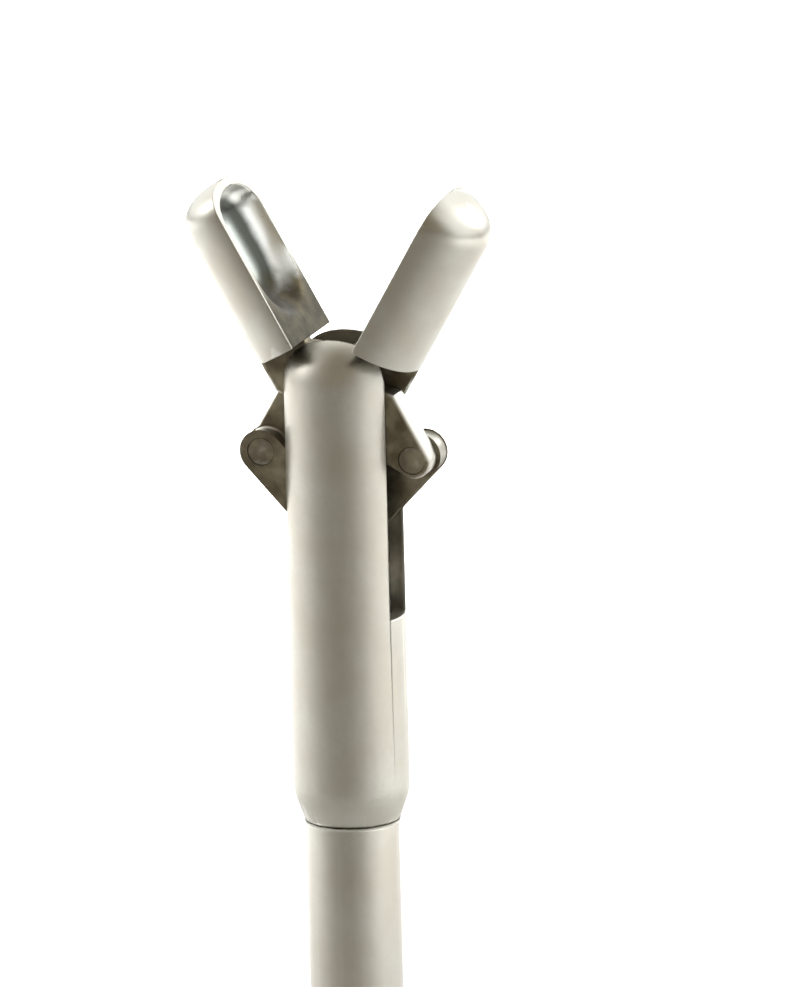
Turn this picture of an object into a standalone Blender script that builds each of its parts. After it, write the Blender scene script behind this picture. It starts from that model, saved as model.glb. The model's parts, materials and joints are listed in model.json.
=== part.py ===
"""Working end of a double-action cup forceps: spoon jaws, scissor linkage, fork body and shaft.

The tool stands upright on +Z. The origin is the centre of the coupling collar's seating face.
The jaws swing in the XZ plane about a pivot that lies along Y. They are modelled open, at rest.
"""

import math

import bmesh
import bpy
from mathutils import Matrix, Vector

MM = 0.001

# Driving dimensions, in millimetres and degrees.
PIVOT_Z = 32.0  # jaw pivot above the collar's seating face
HEAD_R = 2.5  # fork body and closed jaws
SLOT_HALF = 1.0  # half the width of the fork's slot
OPEN_DEG = 29.5  # each jaw's swing from shut to fully open
TAIL_LENGTH = 4.35  # pivot to tail pin
TAIL_DEG_SHUT = 22.2  # the tail's lean from the tool's axis with the jaws shut
LINK_LENGTH = 5.0  # tail pin to rod pin
HUB_R = 1.65  # round of the jaw plate about the pivot
LOBE_R = 0.82  # rounded ends of tails and links
CUP_BASE = 2.66  # start of the cup above the pivot
CUP_TIP = 10.4  # end of the cup above the pivot
FORK_TOP = 2.54  # top of the fork's nose above the pivot
FORK_BLUNT = 2.2  # length of that nose
SHOULDER = 17.65  # start of the rear taper below the pivot
TAPER = 1.2  # length of the rear taper
SLOT_DEPTH = 9.82  # slot floor below the pivot
TUBE_R = 2.0
TUBE_BORE_R = 1.6
ROD_R = 0.8
CHAMFER = 0.2  # on turned corners

# Clearances.
RUN = 0.02  # between sliding faces
SEAT = 0.01  # between pieces fixed together

# What follows from them.
FORK_TOP_Z = PIVOT_Z + FORK_TOP
SLOT_FLOOR_Z = PIVOT_Z - SLOT_DEPTH
SHOULDER_Z = PIVOT_Z - SHOULDER
BODY_END_Z = SHOULDER_Z - TAPER
PLATE_T = SLOT_HALF - 2 * RUN  # one jaw plate or link fills half the slot
PLATE_Y = SLOT_HALF / 2  # middle of that half
EDGE_R = 0.12  # rounding of the plates' edges
TAIL_SHUT = math.radians(TAIL_DEG_SHUT)
TAIL_OPEN = math.radians(TAIL_DEG_SHUT + OPEN_DEG)
TAIL_X = TAIL_LENGTH * math.sin(TAIL_OPEN)
TAIL_Z = PIVOT_Z - TAIL_LENGTH * math.cos(TAIL_OPEN)
LINK_OPEN = math.asin(TAIL_X / LINK_LENGTH)
ROD_PIN_Z = TAIL_Z - LINK_LENGTH * math.cos(LINK_OPEN)

# Pins and rivets.
PIVOT_PIN_R = 0.6
PIN_START = -2.0  # blind end of the pivot hole in the near ear
TAIL_PIN_R = 0.4
RIVET_HEAD_R = 0.6
RIVET_HEAD_T = 0.25
ROD_PIN_R = 0.3
DOWEL_R = 0.25
PIN_SHORT = 0.05  # the drive block's pins end this far inside its skin
LINK_EYE_R = 0.5  # roomy eye round the rod pin
LINK_EYE_SHORT = 0.1  # its centre sits this far short of the lobe's

# Bore of the fork body, and the drive block in it, measured from the rod pin.
BODY_BORE_R = 1.8
BORE_TOP_Z = ROD_PIN_Z + 1.2
BLOCK_R = BODY_BORE_R - 2 * RUN
BLOCK_TOP = 0.75
BLOCK_BOTTOM = 3.1
BLOCK_FORK = 1.05  # floor of the fork that the links enter
BLOCK_SOCKET = 1.5  # end of the socket that the rod enters
DOWEL_DROP = 2.3

# Shaft tube, its socket in the fork body, and what lines it.
SOCKET_TOP_Z = BODY_END_Z + 4.9
SEAM_WIDTH = 0.055
SEAM_HEIGHT = 0.15
LIP = SEAM_WIDTH + 0.005  # end face of the fork body round the tube
BUSH_FLANGE_T = 0.5
BUSH_TOP_Z = SOCKET_TOP_Z + 1.8
TUBE_TOP_Z = SOCKET_TOP_Z - BUSH_FLANGE_T - 2 * SEAT
LINER_BORE_R = ROD_R + 0.15
LINER_SHORT = 0.1  # gap at each end of the liner

# Coupling at the shaft's foot, below and above the collar's seating face.
COLLAR_R = 2.6
COLLAR_T = 2.0
COLLAR_FLAT = 2.3  # half the width across the spanner flats
SPIGOT_R = 1.75
SPIGOT_LENGTH = 5.0
GROOVE_TOP_Z = -2.9
GROOVE_BOTTOM_Z = -3.5
GROOVE_R = 1.5
INNER_SPIGOT_TOP = 6.0
SEAL_SEAT_R = 1.45
SEAL_SEAT_DEPTH = 1.6
SEAL_CORD_R = 0.3
SEAL_SIDES = 12
FERRULE_BORE_R = ROD_R + 0.08
ROD_END_Z = -6.6
BALL_R = 1.15
BALL_Z = -8.2
BALL_NECK_R = 0.62
BALL_SHANK_R = 1.15
BALL_SHANK_TOP_Z = -5.4
BALL_SHANK_BOTTOM_Z = -6.75

# Cups.
NOSE_BLUNT = 1.5  # length of the domed end
NOSE_POWER = 2.4  # 2 is an ellipse, more is blunter
HOLLOW_WALL = 0.3
HOLLOW_DEPTH = 0.58  # of a full half round
HOLLOW_TIP_WALL = 0.5
HOLLOW_START = 1.3  # above the cup's base
HOLLOW_POWER = 2.2
HOLLOW_END_R = 1.1
JAW_GAP = 0.02  # half the gap between the closed rims

STEPS = 64  # faces round a turned piece
FINE_STEPS = 128  # faces round a trim that must match a turned piece's skin
PIN_STEPS = 24
SMOOTH_DEG = 35  # corners sharper than this stay crisp
PAST = 1.0  # how far a cutter runs beyond what it cuts
BIG = 20.0

COLOURS = {  # base colour, roughness, metallic
    "satin_steel": ((0.62, 0.61, 0.57), 0.36, 1.0),
    "linkage_steel": ((0.38, 0.36, 0.31), 0.42, 1.0),
    "pin_steel": ((0.5, 0.48, 0.43), 0.3, 1.0),
    "bronze": ((0.55, 0.4, 0.2), 0.4, 1.0),
    "ptfe": ((0.9, 0.9, 0.88), 0.5, 0.0),
    "seal_rubber": ((0.03, 0.03, 0.03), 0.7, 0.0),
}


def clear_scene():
    for obj in list(bpy.data.objects):
        bpy.data.objects.remove(obj)


def new_collection(name, hidden=False):
    found = bpy.data.collections.new(name)
    found.hide_render = hidden
    bpy.context.scene.collection.children.link(found)
    return found


def material(name):
    made = bpy.data.materials.get(name)
    if made is None:
        colour, roughness, metallic = COLOURS[name]
        made = bpy.data.materials.new(name)
        made.use_nodes = True
        shader = made.node_tree.nodes["Principled BSDF"]
        shader.inputs["Base Color"].default_value = (*colour, 1.0)
        shader.inputs["Roughness"].default_value = roughness
        shader.inputs["Metallic"].default_value = metallic
    return made


def place(obj, collection, finish=None):
    collection.objects.link(obj)
    if finish:
        obj.data.materials.clear()
        obj.data.materials.append(material(finish))
    if collection is CUTTERS:
        obj.hide_render = True
        obj.display_type = "WIRE"
    return obj


def shade(mesh):
    mesh.shade_smooth()
    mesh.set_sharp_from_angle(angle=math.radians(SMOOTH_DEG))
    return mesh


def turned(name, profile, collection, finish=None, centre=(0, 0, 0), steps=STEPS):
    """A solid turned about Z from (radius, height) points in mm, running down its outer side."""
    mesh = bpy.data.meshes.new(name)
    points = [(r * MM, 0, z * MM) for r, z in profile]
    edges = [(i, i + 1) for i in range(len(points) - 1)]
    if profile[0][0] > 0:  # a ring's profile closes on itself
        edges.append((len(points) - 1, 0))
    mesh.from_pydata(points, edges, [])
    obj = bpy.data.objects.new(name, mesh)
    screw = obj.modifiers.new("Turn", "SCREW")
    screw.axis = "Z"
    screw.angle = 2 * math.pi
    screw.steps = screw.render_steps = steps
    screw.use_merge_vertices = True
    screw.merge_threshold = 1e-7
    screw.use_smooth_shade = True
    obj.location = Vector(centre) * MM
    return place(obj, collection, finish)


def rod(name, radius, start, end, collection, finish=None, steps=32):
    """A plain cylinder between two points in mm."""
    start, end = Vector(start) * MM, Vector(end) * MM
    mesh = bpy.data.meshes.new(name)
    shape = bmesh.new()
    bmesh.ops.create_cone(
        shape,
        cap_ends=True,
        segments=steps,
        radius1=radius * MM,
        radius2=radius * MM,
        depth=(end - start).length,
    )
    shape.to_mesh(mesh)
    shape.free()
    obj = bpy.data.objects.new(name, shade(mesh))
    obj.rotation_mode = "QUATERNION"
    obj.rotation_quaternion = (end - start).to_track_quat("Z", "Y")
    obj.location = (start + end) / 2
    return place(obj, collection, finish)


def box(name, low, high, collection):
    mesh = bpy.data.meshes.new(name)
    shape = bmesh.new()
    size = [(b - a) * MM for a, b in zip(low, high)]
    bmesh.ops.create_cube(shape, size=1.0, matrix=Matrix.Diagonal((*size, 1.0)))
    shape.to_mesh(mesh)
    shape.free()
    obj = bpy.data.objects.new(name, mesh)
    obj.location = [(a + b) / 2 * MM for a, b in zip(low, high)]
    return place(obj, collection)


def arc(centre, radius, start_deg, end_deg, count=10):
    """Points of an arc in the XZ plane; angles turn from +X towards +Z."""
    found = []
    for i in range(count + 1):
        angle = math.radians(start_deg + (end_deg - start_deg) * i / count)
        found.append((centre[0] + radius * math.cos(angle), centre[1] + radius * math.sin(angle)))
    return found


def plate(name, outline, y_middle, thickness, edge, collection, finish=None):
    """A flat plate in the XZ plane with rounded edges, as a mesh ready to be cut."""
    curve = bpy.data.curves.new(name, "CURVE")
    curve.dimensions = "2D"
    curve.fill_mode = "BOTH"
    curve.extrude = (thickness / 2 - edge) * MM
    curve.bevel_depth = edge * MM
    curve.bevel_resolution = 1
    curve.offset = -edge * MM
    spline = curve.splines.new("POLY")
    spline.points.add(len(outline) - 1)
    for point, (x, z) in zip(spline.points, outline):
        point.co = (x * MM, z * MM, 0, 1)
    spline.use_cyclic_u = True
    guide = bpy.data.objects.new(name + "_outline", curve)
    bpy.context.scene.collection.objects.link(guide)
    guide.rotation_euler = (math.pi / 2, 0, 0)
    guide.location = (0, y_middle * MM, 0)
    bpy.context.view_layer.update()
    graph = bpy.context.evaluated_depsgraph_get()
    mesh = bpy.data.meshes.new_from_object(guide.evaluated_get(graph))
    mesh.transform(guide.matrix_world)
    bpy.data.objects.remove(guide)
    shape = bmesh.new()
    shape.from_mesh(mesh)
    bmesh.ops.remove_doubles(shape, verts=shape.verts, dist=1e-7)
    bmesh.ops.recalc_face_normals(shape, faces=shape.faces)
    shape.to_mesh(mesh)
    shape.free()
    return place(bpy.data.objects.new(name, shade(mesh)), collection, finish)


def boolean(obj, operation, other):
    step = obj.modifiers.new(operation.title(), "BOOLEAN")
    step.operation = operation
    step.object = other
    step.solver = "EXACT"


def nose_profile(radius, tip, length, power, count):
    """(radius, height) from the tip down a superellipse nose of that length, to where it meets its cylinder."""
    middle = tip - length
    nose = [(0, tip)]
    for i in range(1, count):
        t = math.pi / 2 * (1 - i / count)
        nose.append((radius * math.cos(t) ** (2 / power), middle + length * math.sin(t) ** (2 / power)))
    return nose + [(radius, middle)]


def cut(obj, *cutters):
    for cutter in cutters:
        boolean(obj, "DIFFERENCE", cutter)


def fork_body():
    """Turned blank with a blunt nose, the long slot, rod bore, tube socket and pivot hole."""
    nose = nose_profile(HEAD_R, FORK_TOP_Z, FORK_BLUNT, NOSE_POWER, 16)
    taper = [(HEAD_R, SHOULDER_Z), (TUBE_R + LIP, BODY_END_Z), (0, BODY_END_Z)]
    body = turned("fork_body", nose + taper, PARTS, "satin_steel")
    below = (0, 0, BODY_END_Z - PAST)
    cut(
        body,
        box("slot_cutter", (-BIG, -SLOT_HALF, SLOT_FLOOR_Z), (BIG, SLOT_HALF, PIVOT_Z + BIG), CUTTERS),
        rod("bore_cutter", BODY_BORE_R, below, (0, 0, BORE_TOP_Z), CUTTERS, steps=STEPS),
        rod("socket_cutter", TUBE_R + SEAT, below, (0, 0, SOCKET_TOP_Z), CUTTERS, steps=STEPS),
        rod("pivot_hole", PIVOT_PIN_R + SEAT, (0, PIN_START, PIVOT_Z), (0, HEAD_R + PAST, PIVOT_Z), CUTTERS),
    )


def pivot_pin():
    """Pressed in from the far ear. Its near end stops short of the outside, its far end is ground flush."""
    start, end = (0, PIN_START + SEAT, PIVOT_Z), (0, HEAD_R + PAST, PIVOT_Z)
    pin = rod("pivot_pin", PIVOT_PIN_R, start, end, PARTS, "pin_steel")
    low, high = (0, 0, PIVOT_Z - HEAD_R), (0, 0, PIVOT_Z + HEAD_R)
    boolean(pin, "INTERSECT", rod("pin_skin", HEAD_R - SEAT, low, high, CUTTERS, steps=FINE_STEPS))


def sleeve(outer, bore, top, bottom):
    """Profile of a plain ring."""
    return [(outer, top), (outer, bottom), (bore, bottom), (bore, top)]


def shaft_pieces():
    tube = sleeve(TUBE_R, TUBE_BORE_R, TUBE_TOP_Z, COLLAR_T + SEAT)
    turned("shaft_tube", tube, PARTS, "satin_steel")
    seam_z = BODY_END_Z - SEAT
    turned(
        "solder_seam",
        [
            (TUBE_R + SEAM_WIDTH, seam_z),
            (TUBE_R + SEAM_WIDTH / 2, seam_z - SEAM_HEIGHT / 2),
            (TUBE_R + SEAT, seam_z - SEAM_HEIGHT),
            (TUBE_R + SEAT, seam_z),
        ],
        PARTS,
        "pin_steel",
    )
    flange_z = SOCKET_TOP_Z - SEAT
    turned(
        "guide_bush",
        [
            (BODY_BORE_R - SEAT, BUSH_TOP_Z),
            (BODY_BORE_R - SEAT, flange_z),
            (TUBE_R - SEAT, flange_z),
            (TUBE_R - SEAT, flange_z - BUSH_FLANGE_T),
            (ROD_R + RUN, flange_z - BUSH_FLANGE_T),
            (ROD_R + RUN, BUSH_TOP_Z),
        ],
        PARTS,
        "bronze",
    )
    liner = sleeve(TUBE_BORE_R - RUN, LINER_BORE_R, TUBE_TOP_Z - LINER_SHORT, INNER_SPIGOT_TOP + LINER_SHORT)
    turned("liner_sleeve", liner, PARTS, "ptfe")


def coupling_pieces():
    """Ferrule with its collar, snap-groove spigot and seal seat, and the two rings that the seat holds."""
    seat_floor = SEAL_SEAT_DEPTH - SPIGOT_LENGTH
    ferrule = turned(
        "shaft_ferrule",
        [
            (TUBE_BORE_R - SEAT, INNER_SPIGOT_TOP),
            (TUBE_BORE_R - SEAT, COLLAR_T),
            (COLLAR_R - CHAMFER, COLLAR_T),
            (COLLAR_R, COLLAR_T - CHAMFER),
            (COLLAR_R, CHAMFER),
            (COLLAR_R - CHAMFER, 0),
            (SPIGOT_R, 0),
            (SPIGOT_R, GROOVE_TOP_Z),
            (GROOVE_R, GROOVE_TOP_Z),
            (GROOVE_R, GROOVE_BOTTOM_Z),
            (SPIGOT_R, GROOVE_BOTTOM_Z),
            (SPIGOT_R, CHAMFER - SPIGOT_LENGTH),
            (SPIGOT_R - CHAMFER, -SPIGOT_LENGTH),
            (SEAL_SEAT_R, -SPIGOT_LENGTH),
            (SEAL_SEAT_R, seat_floor),
            (FERRULE_BORE_R, seat_floor),
            (FERRULE_BORE_R, INNER_SPIGOT_TOP),
        ],
        PARTS,
        "satin_steel",
    )
    for side, word in ((-1, "left"), (1, "right")):
        near, far = sorted((side * COLLAR_FLAT, side * BIG))
        low, high = (near, -BIG, -CHAMFER), (far, BIG, COLLAR_T + CHAMFER)
        cut(ferrule, box(f"flat_cutter_{word}", low, high, CUTTERS))
    ring_r = (SEAL_SEAT_R + ROD_R + RUN) / 2
    seal_z = seat_floor - SEAL_CORD_R - RUN
    ring = []
    for i in range(SEAL_SIDES):
        angle = 2 * math.pi * i / SEAL_SIDES
        ring.append((ring_r + SEAL_CORD_R * math.cos(angle), seal_z - SEAL_CORD_R * math.sin(angle)))
    turned("rod_seal", ring, PARTS, "seal_rubber")
    cap = sleeve(SEAL_SEAT_R - SEAT, FERRULE_BORE_R, seal_z - SEAL_CORD_R - RUN, RUN - SPIGOT_LENGTH)
    turned("seal_retainer", cap, PARTS, "ptfe")


def rod_pieces():
    block_low = ROD_PIN_Z - BLOCK_BOTTOM
    block_high = ROD_PIN_Z + BLOCK_TOP
    rod_top = ROD_PIN_Z - BLOCK_SOCKET
    dowel_z = ROD_PIN_Z - DOWEL_DROP
    block = turned(
        "drive_block",
        [
            (0, block_high),
            (BLOCK_R - CHAMFER, block_high),
            (BLOCK_R, block_high - CHAMFER),
            (BLOCK_R, block_low + CHAMFER),
            (BLOCK_R - CHAMFER, block_low),
            (0, block_low),
        ],
        PARTS,
        "linkage_steel",
    )
    reach = BLOCK_R + PAST
    fork_low, fork_high = (-BIG, -SLOT_HALF, ROD_PIN_Z - BLOCK_FORK), (BIG, SLOT_HALF, ROD_PIN_Z + BIG)
    cut(
        block,
        box("block_fork", fork_low, fork_high, CUTTERS),
        rod("rod_socket", ROD_R + SEAT, (0, 0, block_low - PAST), (0, 0, rod_top + SEAT), CUTTERS),
        cross_pin("rod_pin_hole", ROD_PIN_R + SEAT, "Y", reach, ROD_PIN_Z, CUTTERS),
        cross_pin("dowel_hole", DOWEL_R + SEAT, "X", reach, dowel_z, CUTTERS),
    )
    cross_pin("rod_pin", ROD_PIN_R, "Y", BLOCK_R - PIN_SHORT, ROD_PIN_Z, PARTS, "pin_steel")
    cross_pin("rod_dowel", DOWEL_R, "X", BLOCK_R - PIN_SHORT, dowel_z, PARTS, "pin_steel")
    puller = turned(
        "pull_rod",
        [
            (0, rod_top),
            (ROD_R - CHAMFER, rod_top),
            (ROD_R, rod_top - CHAMFER),
            (ROD_R, ROD_END_Z),
            (0, ROD_END_Z),
        ],
        PARTS,
        "satin_steel",
    )
    cut(puller, cross_pin("rod_dowel_hole", DOWEL_R + SEAT, "X", ROD_R + PAST, dowel_z, CUTTERS))
    ball_end()


def cross_pin(name, radius, axis, reach, z, collection, finish=None):
    """A bar across the rod's axis, as far on one side as on the other."""
    tip = (reach, 0, z) if axis == "X" else (0, reach, z)
    tail = (-tip[0], -tip[1], z)
    return rod(name, radius, tail, tip, collection, finish, steps=PIN_STEPS)


def ball_end():
    """Shank that takes the rod, a neck, and the ball that the handle's fork pulls on."""
    ease = CHAMFER / 2
    throat_deg = math.degrees(math.asin(BALL_NECK_R / BALL_R))
    ball = arc((0, BALL_Z), BALL_R, 90 - throat_deg, -90, 14)
    ball[-1] = (0, BALL_Z - BALL_R)
    shank = [
        (0, BALL_SHANK_TOP_Z),
        (BALL_SHANK_R - ease, BALL_SHANK_TOP_Z),
        (BALL_SHANK_R, BALL_SHANK_TOP_Z - ease),
        (BALL_SHANK_R, BALL_SHANK_BOTTOM_Z + ease),
        (BALL_SHANK_R - ease, BALL_SHANK_BOTTOM_Z),
        (BALL_NECK_R, BALL_SHANK_BOTTOM_Z),
    ]
    end = turned("ball_end", shank + ball, PARTS, "satin_steel")
    low, high = (0, 0, ROD_END_Z - SEAT), (0, 0, BALL_SHANK_TOP_Z + PAST)
    cut(end, rod("ball_socket", ROD_R + SEAT, low, high, CUTTERS))


def jaw_outline():
    """The jaw's flat plate, shut: a neck under the cup, a hub on the pivot, and a tail on the other side.

    The sides run past the cup's radius, and are trimmed round afterwards.
    """
    wide = HEAD_R + CHAMFER
    tail = (TAIL_LENGTH * math.sin(TAIL_SHUT), -TAIL_LENGTH * math.cos(TAIL_SHUT))
    root_z = CUP_BASE + 3 * CHAMFER  # inside the cup's solid foot
    outline = [(-JAW_GAP, root_z), (-wide, root_z), (-wide, HEAD_R / 2)]  # back of the neck
    outline += arc((0, 0), HUB_R, 165, 235, 7)
    outline += arc(tail, LOBE_R, 195, 340, 12)
    outline += [(wide, tail[1] + LOBE_R / 2), (wide, -HEAD_R / 2)]  # back of the tail
    outline += arc((0, 0), HUB_R, -15, 60, 7)
    outline += [(2 * CHAMFER, CUP_BASE - 2 * CHAMFER), (-JAW_GAP, CUP_BASE - CHAMFER)]  # front of the neck
    return outline[::-1], tail


def jaw_profile(radius, tip, base, power):
    """(radius, height) down the outside of a bullet, closed at its base."""
    return nose_profile(radius, tip, NOSE_BLUNT, power, 12) + [(radius, base), (0, base)]


def rivet_holes(name, at, eye_r, clearance):
    """Hole for the rivet's shank, and the sink for its near head, as two cutters along Y."""
    x, z = at
    near, far = (x, -PAST - SLOT_HALF, z), (x, PAST + SLOT_HALF, z)
    sink_floor = (x, RIVET_HEAD_T - PLATE_Y - PLATE_T / 2, z)
    return [
        rod(name + "_tail_hole", eye_r + clearance, near, far, CUTTERS, steps=PIN_STEPS),
        rod(name + "_head_sink", RIVET_HEAD_R + clearance, near, sink_floor, CUTTERS, steps=PIN_STEPS),
    ]


def swing_into_place(objects, tilt, turn, at):
    """Turns a piece made in the near half of the slot, with its cutters, and moves it to its hinge."""
    pose = Matrix.Translation(Vector(at) * MM) @ Matrix.Rotation(tilt, 4, "Y") @ Matrix.Rotation(turn, 4, "Z")
    for obj in objects:
        obj.matrix_world = pose @ obj.matrix_basis


def make_jaw(name, turn, tilt):
    """Both jaws are one shape, turned half round from each other. It is made shut, about its pivot."""
    outline, tail = jaw_outline()
    jaw = plate(name, outline, -PLATE_Y, PLATE_T, EDGE_R, PARTS, "satin_steel")
    trim = rod(name + "_trim", HEAD_R - SEAT, (0, 0, -BIG), (0, 0, BIG), CUTTERS, steps=FINE_STEPS)
    boolean(jaw, "INTERSECT", trim)
    cup = turned(name + "_cup", jaw_profile(HEAD_R, CUP_TIP, CUP_BASE, NOSE_POWER), CUTTERS)
    hollow_tip, hollow_base = CUP_TIP - HOLLOW_TIP_WALL, CUP_BASE + HOLLOW_START
    inside = jaw_profile(HEAD_R - HOLLOW_WALL, hollow_tip, hollow_base, HOLLOW_POWER)
    hollow = turned(name + "_hollow", inside, CUTTERS)
    hollow.scale.x = HOLLOW_DEPTH
    end_round = hollow.modifiers.new("RoundEnd", "BEVEL")
    end_round.width = HOLLOW_END_R * MM
    end_round.segments = 5
    end_round.limit_method = "ANGLE"
    end_round.angle_limit = math.radians(60)
    half = box(name + "_half", (-JAW_GAP, -BIG, -BIG), (BIG, BIG, BIG), CUTTERS)
    cut(cup, half, hollow)
    boolean(jaw, "UNION", cup)
    back = PAST + SLOT_HALF
    holes = [rod(name + "_pivot_hole", PIVOT_PIN_R + RUN, (0, -back, 0), (0, back, 0), CUTTERS)]
    holes += rivet_holes(name, tail, TAIL_PIN_R, SEAT)
    cut(jaw, *holes)
    swing_into_place([jaw, cup, hollow, half, trim] + holes, tilt, turn, (0, 0, PIVOT_Z))


def make_link(name, turn, tail_x):
    """A flat bar with two eyes, one on the tail's pin and a roomier one on the rod pin."""
    side = -1 if turn == 0 else 1
    outline = arc((0, 0), LOBE_R, 0, 180, 14) + arc((0, -LINK_LENGTH), LOBE_R, 180, 360, 14)
    link = plate(name, outline[::-1], -PLATE_Y, PLATE_T, EDGE_R, PARTS, "linkage_steel")
    eye_z = LINK_EYE_SHORT - LINK_LENGTH
    back = PAST + SLOT_HALF
    eye = rod(name + "_rod_eye", LINK_EYE_R, (0, -back, eye_z), (0, back, eye_z), CUTTERS, steps=PIN_STEPS)
    cutters = rivet_holes(name, (0, 0), TAIL_PIN_R, RUN) + [eye]
    cut(link, *cutters)
    swing_into_place([link] + cutters, side * LINK_OPEN, turn, (tail_x, 0, TAIL_Z))


def tail_pin(name, tail_x):
    """Headed rivet through a tail and its link, flush on both faces."""
    reach = PLATE_Y + PLATE_T / 2
    neck = reach - RIVET_HEAD_T + RUN
    half = [(RIVET_HEAD_R, reach), (RIVET_HEAD_R, neck), (TAIL_PIN_R, neck)]
    profile = [(0, reach)] + half + [(r, -h) for r, h in half[::-1]] + [(0, -reach)]
    pin = turned(name, profile, PARTS, "pin_steel", (tail_x, 0, TAIL_Z), PIN_STEPS)
    pin.rotation_euler = (math.pi / 2, 0, 0)


def linkage():
    swing = math.radians(OPEN_DEG)
    make_jaw("jaw_left", 0.0, -swing)
    make_jaw("jaw_right", math.pi, swing)
    tail_pin("tail_pin_right", TAIL_X)
    tail_pin("tail_pin_left", -TAIL_X)
    make_link("link_left", 0.0, -TAIL_X)
    make_link("link_right", math.pi, TAIL_X)


clear_scene()
PARTS = new_collection("cup_forceps_head")
CUTTERS = new_collection("cutters", hidden=True)
fork_body()
pivot_pin()
shaft_pieces()
coupling_pieces()
rod_pieces()
linkage()
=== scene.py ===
# Working end of a cup forceps: satin steel head, spoon jaws and scissor linkage on a thin shaft.
import json
import math

import bmesh
import bpy
import numpy as np
from mathutils import Matrix, Vector


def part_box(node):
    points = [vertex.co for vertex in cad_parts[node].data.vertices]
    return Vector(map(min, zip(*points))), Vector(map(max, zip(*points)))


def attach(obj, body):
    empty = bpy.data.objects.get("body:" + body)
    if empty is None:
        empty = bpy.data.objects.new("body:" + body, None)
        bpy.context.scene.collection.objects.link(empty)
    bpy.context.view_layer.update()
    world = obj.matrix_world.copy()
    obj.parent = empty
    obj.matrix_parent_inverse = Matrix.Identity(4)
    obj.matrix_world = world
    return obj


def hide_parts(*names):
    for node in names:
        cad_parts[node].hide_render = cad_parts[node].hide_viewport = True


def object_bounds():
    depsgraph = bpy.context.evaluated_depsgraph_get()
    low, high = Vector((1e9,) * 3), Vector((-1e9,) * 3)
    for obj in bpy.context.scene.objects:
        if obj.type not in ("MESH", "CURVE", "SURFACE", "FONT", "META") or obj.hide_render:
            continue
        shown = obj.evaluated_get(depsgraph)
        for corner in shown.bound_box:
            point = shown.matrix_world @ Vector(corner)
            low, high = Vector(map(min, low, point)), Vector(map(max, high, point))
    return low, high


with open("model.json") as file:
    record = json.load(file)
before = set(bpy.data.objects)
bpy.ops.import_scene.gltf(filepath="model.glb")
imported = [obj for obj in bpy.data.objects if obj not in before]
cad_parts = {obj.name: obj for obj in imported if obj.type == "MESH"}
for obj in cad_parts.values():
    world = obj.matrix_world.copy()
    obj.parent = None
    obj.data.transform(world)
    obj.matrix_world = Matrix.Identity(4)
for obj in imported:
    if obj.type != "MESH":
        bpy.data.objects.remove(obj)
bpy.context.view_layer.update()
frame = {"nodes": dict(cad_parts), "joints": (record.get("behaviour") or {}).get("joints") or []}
nodes = frame["nodes"]
joints = {joint["name"]: joint for joint in frame["joints"]}

mm = 0.001
pivotZ = joints["jaw_left_swing"]["pos_m"][2] / mm
openAngle = math.radians(joints["jaw_left_swing"]["range_deg"][1])
tailPin = [value / mm for value in joints["link_right_swing"]["pos_m"]]  # the right one; the left mirrors it
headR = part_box("fork_body")[1].x / mm
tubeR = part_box("shaft_tube")[1].x / mm
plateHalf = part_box("tail_pin_left")[1].y / mm  # each layer of plates fills this half of the slot
layerGap = 0.02  # each layer keeps this far off the slot's middle
through = 2  # holes in the plates are cut from here to here along Y
tau = 2 * math.pi


# Merges what a grid leaves double, turns faces outwards and shades smooth up to the given corner angle.
def finishMesh(name, verts, faces, sharp=32):
    mesh = bpy.data.meshes.new(name)
    mesh.from_pydata((np.asarray(verts) * mm).tolist(), [], faces)
    body = bmesh.new()
    body.from_mesh(mesh)
    bmesh.ops.remove_doubles(body, verts=body.verts, dist=2e-7)
    bmesh.ops.dissolve_degenerate(body, edges=body.edges, dist=1e-7)
    bmesh.ops.recalc_face_normals(body, faces=body.faces)
    body.to_mesh(mesh)
    body.free()
    smoothMesh(mesh, sharp)
    piece = bpy.data.objects.new(name, mesh)
    bpy.context.scene.collection.objects.link(piece)
    return piece


def smoothMesh(mesh, sharp=32):
    mesh.shade_smooth()
    mesh.set_sharp_from_angle(angle=math.radians(sharp))


# Quads between neighbouring rows and columns of an (rows, columns, 3) array of points, as whole index arrays.
def gridFaces(rows, columns, closeRows=False, closeColumns=True):
    index = np.arange(rows * columns).reshape(rows, columns)
    if closeRows:
        index = np.vstack([index, index[:1]])
    if closeColumns:
        index = np.hstack([index, index[:, :1]])
    corners = [index[:-1, :-1], index[:-1, 1:], index[1:, 1:], index[1:, :-1]]
    return np.stack(corners, axis=-1).reshape(-1, 4).tolist()


# A turned piece: each (radius, height) point of the profile goes once round Z.
def turned(name, profile, steps=160):
    outline = np.array(profile, float)
    angle = np.arange(steps) * tau / steps
    ring = np.stack([np.cos(angle), np.sin(angle)], axis=-1)
    points = np.empty((len(outline), steps, 3))
    points[:, :, :2] = outline[:, None, :1] * ring[None]
    points[:, :, 2] = outline[:, 1:]
    hollow = outline[:, 0].min() > 0
    return finishMesh(name, points.reshape(-1, 3), gridFaces(len(outline), steps, closeRows=hollow))


# Points of an arc, as (radius or x, height) pairs: centre plus radius times (cos, sin).
def arc(centre, radius, startDeg, endDeg, count=12):
    angle = np.radians(np.linspace(startDeg, endDeg, count + 1))
    return np.stack([centre[0] + radius * np.cos(angle), centre[1] + radius * np.sin(angle)], axis=-1)


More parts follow.
